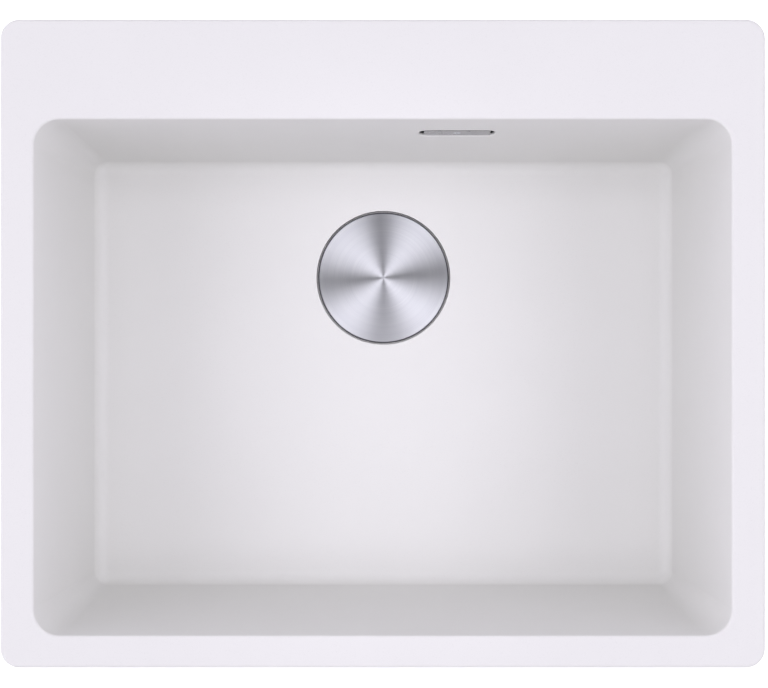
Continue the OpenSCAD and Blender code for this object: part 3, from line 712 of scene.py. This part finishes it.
@dataclass(frozen=True)
class ThreadRidge:
    """The ridge of a right-handed screw thread, wound round an upright axis.

    Attributes:
        root: The radius that it stands on.
        crest: The radius of its top.
        pitch: The rise in one turn.
        low: The height where it starts.
        high: The height where it ends.
        steps: How many faces there are in one turn.
        foot: The width of its foot, as a share of the pitch.
        top: The width of its top, as a share of the pitch.
    """

    root: float
    crest: float
    pitch: float
    low: float
    high: float
    steps: int = 64
    foot: float = 0.8
    top: float = 0.16

    def wind(self, sheet: bmesh.types.BMesh, centre: Vector) -> None:
        """Adds the ridge to a mesh as a closed skin that runs out at both ends.

        Args:
            sheet: The mesh.
            centre: The axis, in X and Y.
        """
        sunk = self.root - (self.crest - self.root) / 2
        count = round((self.high - self.low) / self.pitch * self.steps)
        rings = []
        for k in range(count + 1):
            angle = 2 * math.pi * k / self.steps
            height = self.low + self.pitch * k / self.steps
            # The crest rises from the root within the first half turn and sinks within the last.
            fade = min(1.0, 2 * k / self.steps, 2 * (count - k) / self.steps)
            crest = self.root + (self.crest - self.root) * fade
            section = [(sunk, -self.foot), (crest, -self.top), (crest, self.top), (sunk, self.foot)]
            rings.append([
                sheet.verts.new((
                    centre.x + radius * math.cos(angle),
                    centre.y + radius * math.sin(angle),
                    height + half * self.pitch / 2,
                ))
                for radius, half in section
            ])
        faces = [sheet.faces.new(rings[0]), sheet.faces.new(rings[-1])]
        for before, after in zip(rings, rings[1:]):
            for k in range(4):
                n = (k + 1) % 4
                faces.append(sheet.faces.new((before[k], before[n], after[n], after[k])))
                sheet.edges.get((before[k], after[k])).smooth = False
        bmesh.ops.recalc_face_normals(sheet, faces=faces)


def oblong(length: float, height: float, radius: float, steps: int = 12) -> list[tuple[float, float]]:
    """Returns the outline of an oblong with rounded corners, about its middle.

    Args:
        length: Its length.
        height: Its height.
        radius: The radius of its corners.
        steps: How many sides there are in each corner.

    Returns:
        The outline's points, anticlockwise.
    """
    points = []
    for quarter, (x, y) in enumerate(((1, 1), (-1, 1), (-1, -1), (1, -1))):
        for k in range(steps + 1):
            angle = (quarter + k / steps) * math.pi / 2
            points.append((
                x * (length / 2 - radius) + radius * math.cos(angle),
                y * (height / 2 - radius) + radius * math.sin(angle),
            ))
    return points


def finish_mesh(name: str, sheet: bmesh.types.BMesh) -> bpy.types.Mesh:
    """Turns a bmesh into a mesh and frees it.

    Args:
        name: The mesh's name.
        sheet: The bmesh.

    Returns:
        The mesh.
    """
    mesh = bpy.data.meshes.new(name)
    sheet.to_mesh(mesh)
    sheet.free()
    return mesh


@dataclass
class Basin:
    """The cast basin and the brass inserts moulded into it."""

    workshop: Workshop

    def build(self) -> None:
        """Dresses the casting and its inserts."""
        self.workshop.dress("basin", Stock.COMPOSITE)
        self.workshop.dress("clamp_inserts", Stock.BRASS)


@dataclass
class Waste:
    """The strainer waste under the bowl, from the steel flange to the outlet."""

    workshop: Workshop
    outlet_radius: float = 23.9 * MM
    outlet_length: float = 18 * MM
    thread_height: float = 0.4 * MM
    thread_pitch: float = 2.309 * MM

    def build(self) -> None:
        """Dresses the waste's fixed pieces and cuts the outlet's thread."""
        self.workshop.dress("waste_flange", Stock.PRESSED)
        self.workshop.dress("flange_seal", Stock.RUBBER)
        self.workshop.dress("lower_seal", Stock.RUBBER)
        self.workshop.dress("waste_body", Stock.GREY_PLASTIC)
        self.workshop.dress("waste_screw", Stock.ZINC)
        self.workshop.dress("waste_nut", Stock.BRASS)
        self._outlet_thread()

    def _outlet_thread(self) -> None:
        """Winds the thread that a trap's nut goes on round the outlet."""
        low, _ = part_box("waste_body")
        left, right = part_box("waste_flange")
        ridge = ThreadRidge(
            root=self.outlet_radius,
            crest=self.outlet_radius + self.thread_height,
            pitch=self.thread_pitch,
            low=low.z + self.thread_pitch,
            high=low.z + self.outlet_length - self.thread_pitch / 2,
        )
        sheet = bmesh.new()
        ridge.wind(sheet, (left + right) / 2)
        mesh = finish_mesh("outlet_thread", sheet)
        self.workshop.add("outlet_thread", mesh, "root", Stock.GREY_PLASTIC)


@dataclass
class Strainer:
    """The lift-out strainer basket with its stem and plug, and the flush cover over it."""

    workshop: Workshop

    def build(self) -> None:
        """Dresses the basket and the cover."""
        self.workshop.dress("strainer_basket", Stock.PRESSED)
        self.workshop.dress("basket_stem", Stock.PRESSED)
        self.workshop.dress("basket_plug", Stock.RUBBER)
        self.workshop.dress("stem_nut", Stock.ZINC)
        self.workshop.dress("cover_plate", Stock.BRUSHED)
        self.workshop.dress("cover_post", Stock.PRESSED)


@dataclass
class Overflow:
    """The overflow: its cover in the bowl, its housing behind the wall and its pipe to the waste."""

    workshop: Workshop
    slot_length: float = 61 * MM
    slot_height: float = 24.5 * MM
    slot_corner: float = 8 * MM
    sleeve_wall: float = 0.9 * MM
    sleeve_fit: float = 0.05 * MM

    def build(self) -> None:
        """Dresses the overflow's pieces and lines its slot."""
        # The cover wears the darker copy of the pressed steel, as painted shade.
        self.workshop.dress("overflow_cover", Stock.SHADED)
        self.workshop.dress("overflow_cover_screw", Stock.ZINC)
        self.workshop.dress("overflow_gasket", Stock.RUBBER)
        self.workshop.dress("overflow_housing", Stock.GREY_PLASTIC)
        self.workshop.dress("overflow_housing_screws", Stock.ZINC)
        self.workshop.dress("overflow_pipe", Stock.WHITE_PLASTIC)
        for end in ("upper", "lower"):
            self.workshop.dress(f"{end}_union_nut", Stock.WHITE_PLASTIC)
            self.workshop.dress(f"{end}_union_seal", Stock.RUBBER)
        self._sleeve_with_painted_shade()

    def _sleeve_with_painted_shade(self) -> None:
        """Lines the slot behind its cover with a black rubber sleeve, partly as painted shade."""
        # The sleeve is black rubber, as a gasket's sleeve is; its black also paints the deep shadow in
        # the slot's ends.
        low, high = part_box("overflow_cover")
        middle = (low + high) / 2
        rear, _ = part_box("overflow_gasket")
        front_y = high.y + self.sleeve_wall / 2
        rows = []
        sheet = bmesh.new()
        wall = self.sleeve_wall
        for inset, y in ((0.0, front_y), (0.0, rear.y), (wall, rear.y), (wall, front_y)):
            gap = inset + self.sleeve_fit
            length = self.slot_length - 2 * gap
            outline = oblong(length, self.slot_height - 2 * gap, self.slot_corner - gap)
            rows.append([sheet.verts.new((middle.x + x, y, middle.z + z)) for x, z in outline])
        faces = []
        for row, after in zip(rows, rows[1:] + rows[:1]):
            for k in range(len(row)):
                n = (k + 1) % len(row)
                faces.append(sheet.faces.new((row[k], row[n], after[n], after[k])))
                sheet.edges.get((row[k], row[n])).smooth = False
        bmesh.ops.recalc_face_normals(sheet, faces=faces)
        mesh = finish_mesh("overflow_sleeve_painted_shade", sheet)
        self.workshop.add("overflow_sleeve_painted_shade", mesh, "root", Stock.RUBBER)


@dataclass
class WorktopClamps:
    """The eight clamps that draw the rim down on the worktop."""

    workshop: Workshop
    shank_radius: float = 2.5 * MM
    thread_depth: float = 0.42 * MM
    thread_pitch: float = 0.8 * MM
    thread_steps: int = 24
    collar_top: float = 7.2 * MM

    def build(self) -> None:
        """Dresses every clamp's jaw and cuts its screw's thread."""
        for node in sorted(self.workshop.nodes):
            if node.startswith("clamp_jaw_"):
                self.workshop.dress(node, Stock.ZINC)
            if node.startswith("clamp_screw_"):
                self._threaded_screw(node)

    def _threaded_screw(self, node: str) -> None:
        """Stands a screw with a cut thread in the place of a plain one.

        Args:
            node: The plain screw's name.
        """
        low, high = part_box(node)
        centre = ((low + high) / 2).to_2d()
        root = self.shank_radius - self.thread_depth
        slack = self.thread_depth / 2
        start = low.z + self.collar_top
        sheet = bmesh.new()
        sheet.from_mesh(self.workshop.nodes[node].data)
        # The plain shank's vertices, known by their radius, move in to the thread's root.
        for vertex in sheet.verts:
            out = vertex.co.to_2d() - centre
            if vertex.co.z > start - slack and abs(out.length - self.shank_radius) < slack:
                vertex.co.xy = centre + out * (root / self.shank_radius)
        ridge = ThreadRidge(
            root=root,
            crest=self.shank_radius,
            pitch=self.thread_pitch,
            low=start + self.thread_pitch,
            high=high.z - self.thread_pitch,
            steps=self.thread_steps,
        )
        ridge.wind(sheet, centre)
        name = node.replace("clamp_screw", "threaded_screw")
        body = node.replace("clamp_screw", "screw")
        screw = self.workshop.add(name, finish_mesh(name, sheet), body, Stock.ZINC)
        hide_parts(node)


@dataclass(frozen=True)
class SoftLamp:
    """A large square lamp that shines on the bowl.

    Attributes:
        name: Its name.
        place: Where it hangs.
        power: Its power in watts.
        size: The length of its sides.
    """

    name: str
    place: Point
    power: float
    size: float = 1.2


@dataclass
class Studio:
    """A plain pale floor, soft lamps, a white surround and a camera that looks straight down.

    The picture's middle lies at (middle_x, middle_y) on the rim, and the lens is shifted to bring it
    there. The lights' values are matched to the photograph by comparing regions.
    """

    rim_top: float = 9.5 * MM
    camera_height: float = 1088 * MM
    camera_x: float = 3.5 * MM
    camera_y: float = -5.2 * MM
    middle_x: float = 1.0 * MM
    middle_y: float = -0.3 * MM
    view_width: float = 591.2 * MM
    sensor: float = 36.0
    clip_start: float = 0.01
    floor_drop: float = 6 * MM
    floor_half: float = 6.0
    floor_colour: Colour = (0.86, 0.86, 0.87)
    floor_glow: float = 0.6
    tint: Colour = (1.0, 0.966, 1.076)
    white: Colour = (1.0, 1.0, 1.0)
    side_light: float = 1.37
    end_light: float = 0.77
    side_lean: float = 0.13
    overhead_light: float = 0.05
    quarter_light: float = 2.5
    quarter_turn: float = 0.075
    quarter_bias: float = 0.05
    quarter_reach: Span = (0.1, 0.4)
    quarter_fade: float = 0.75
    horizon_light: float = 0.3
    horizon_reach: Span = (0.55, 0.8)
    mirror_lean_x: float = 0.4
    mirror_lean_y: float = 0.2
    lamps: tuple[SoftLamp, ...] = (
        SoftLamp("key", (0.0, 0.0, 2.4), 16.0, 1.5),
        SoftLamp("left", (-1.5, -0.04, 1.5), 8.6),
        SoftLamp("right", (1.5, -0.04, 1.5), 8.3),
    )
    pool_x: float = -8 * MM
    pool_height: float = 2.0
    pool_radius: float = 250 * MM
    pool_ahead: float = 250 * MM / 3
    pool_power: float = 33.5
    pool_softness: float = 0.1

    def build(self) -> None:
        """Makes the camera, the floor, the surround and the lamps."""
        self._camera()
        self._floor()
        self._surround()
        for lamp in self.lamps:
            self._soft_lamp(lamp)
        self._pool_lamp()
        bpy.context.scene.view_settings.view_transform = "Standard"

    def _camera(self) -> None:
        """Hangs the camera straight above, at the height that the photograph's perspective gives."""
        data = bpy.data.cameras.new("camera")
        data.sensor_fit = "HORIZONTAL"
        data.sensor_width = self.sensor
        data.lens = self.sensor * self.camera_height / self.view_width
        data.shift_x = (self.middle_x - self.camera_x) / self.view_width
        data.shift_y = (self.middle_y - self.camera_y) / self.view_width
        data.clip_start = self.clip_start
        camera = bpy.data.objects.new("camera", data)
        camera.location = (self.camera_x, self.camera_y, self.rim_top + self.camera_height)
        bpy.context.scene.collection.objects.link(camera)
        bpy.context.scene.camera = camera

    def _floor(self) -> None:
        """Lays the pale floor just under the lowest piece. It is clear to the eye from below."""
        low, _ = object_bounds()
        half = self.floor_half
        corners = ((-half, -half), (half, -half), (half, half), (-half, half))
        mesh = bpy.data.meshes.new("floor")
        mesh.from_pydata([(x, y, low.z - self.floor_drop) for x, y in corners], [], [(0, 1, 2, 3)])
        floor = bpy.data.objects.new("floor", mesh)
        bpy.context.scene.collection.objects.link(floor)
        material = bpy.data.materials.new("PaleFloor")
        material.use_nodes = True
        graph = Graph(material.node_tree)
        seen = graph.wire("ShaderNodeLightPath", output="Is Camera Ray")
        matt = graph.wire("ShaderNodeBsdfDiffuse", sockets={"Color": (*self.floor_colour, 1.0)})
        sockets = {"Color": (*self.white, 1.0), "Strength": seen * self.floor_glow}
        glow = graph.wire("ShaderNodeEmission", sockets=sockets)
        top = graph.wire("ShaderNodeAddShader", sockets={0: matt, 1: glow})
        below = graph.wire("ShaderNodeNewGeometry", output="Backfacing")
        clear = graph.wire("ShaderNodeBsdfTransparent")
        both = graph.wire("ShaderNodeMixShader", sockets={0: below, 1: top, 2: clear})
        graph.node("ShaderNodeOutputMaterial", sockets={"Surface": both})
        mesh.materials.append(material)
        floor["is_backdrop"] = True

    def _surround(self) -> None:
        """Makes the world: white to the eye, and a soft light from the sides.

        In reflections it is dark overhead, with four bright quarters around that fade to a pale ring
        at the horizon.
        """
        world = bpy.data.worlds.new("surround")
        bpy.context.scene.world = world
        world.use_nodes = True
        graph = Graph(world.node_tree)
        x, y, _ = graph.axes(graph.wire("ShaderNodeTexCoord", output="Generated"))
        reach = (x * x + y * y) ** 0.5
        quarter = ((y.angle_from(x) - self.quarter_turn) * 2).sine()
        lobes = (quarter * quarter) ** 0.5 + quarter * self.quarter_bias
        lobes = lobes * reach.ramp(*self.quarter_reach) * self.quarter_light
        low = reach.ramp(*self.horizon_reach)
        lobes = lobes * (1 - low * self.quarter_fade)
        mirrored = self.overhead_light + lobes + low * self.horizon_light
        mirrored = mirrored * (1 + x * self.mirror_lean_x - y * self.mirror_lean_y)
        ambient = (x * x * self.side_light + y * y * self.end_light) * (1 - x * self.side_lean)
        path = graph.node("ShaderNodeLightPath")
        seen = Wire(graph, path.outputs["Is Camera Ray"])
        glossy = Wire(graph, path.outputs["Is Glossy Ray"])
        level = seen + (1 - seen) * (glossy * mirrored + (1 - glossy) * ambient)
        colour = graph.mix(seen, self.tint, self.white)
        light = graph.wire("ShaderNodeBackground", sockets={"Color": colour, "Strength": level})
        graph.node("ShaderNodeOutputWorld", sockets={"Surface": light})

    def _soft_lamp(self, lamp: SoftLamp) -> None:
        """Hangs one soft lamp.

        Args:
            lamp: The lamp.
        """
        data = bpy.data.lights.new(lamp.name, "AREA")
        data.shape = "SQUARE"
        data.size = lamp.size
        data.energy = lamp.power
        self._hang(data, Vector(lamp.place), Vector())

    def _pool_lamp(self) -> None:
        """Hangs a lamp that lays a soft pool of light on the middle of the bowl's floor."""
        low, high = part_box("cover_plate")
        data = bpy.data.lights.new("pool", "SPOT")
        data.spot_size = 2 * math.atan(self.pool_radius / (self.pool_height - low.z))
        data.spot_blend = 1.0
        data.shadow_soft_size = self.pool_softness
        data.energy = self.pool_power
        y = (low.y + high.y) / 2 - self.pool_ahead
        self._hang(data, Vector((self.pool_x, y, self.pool_height)), Vector((self.pool_x, y, 0.0)))

    def _hang(self, data: bpy.types.Light, place: Vector, target: Vector) -> None:
        """Hangs a lamp over the sink, kept out of reflections.

        Args:
            data: The lamp.
            place: Where it hangs.
            target: Where it points.
        """
        data.color = self.tint
        lamp = bpy.data.objects.new(data.name, data)
        lamp.location = place
        lamp.rotation_euler = (target - place).to_track_quat("-Z", "Y").to_euler()
        lamp.visible_glossy = False
        bpy.context.scene.collection.objects.link(lamp)


def main() -> None:
    """Loads the frame and builds every sub-assembly and the studio."""
    logging.basicConfig(level=logging.INFO, format="%(name)s: %(message)s")
    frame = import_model()
    workshop = Workshop(frame)
    for assembly in (Basin, Waste, Strainer, Overflow, WorktopClamps):
        assembly(workshop).build()
        log.info("finished %s", assembly.__name__)
    Studio().build()


if __name__ == "__main__":
    main()
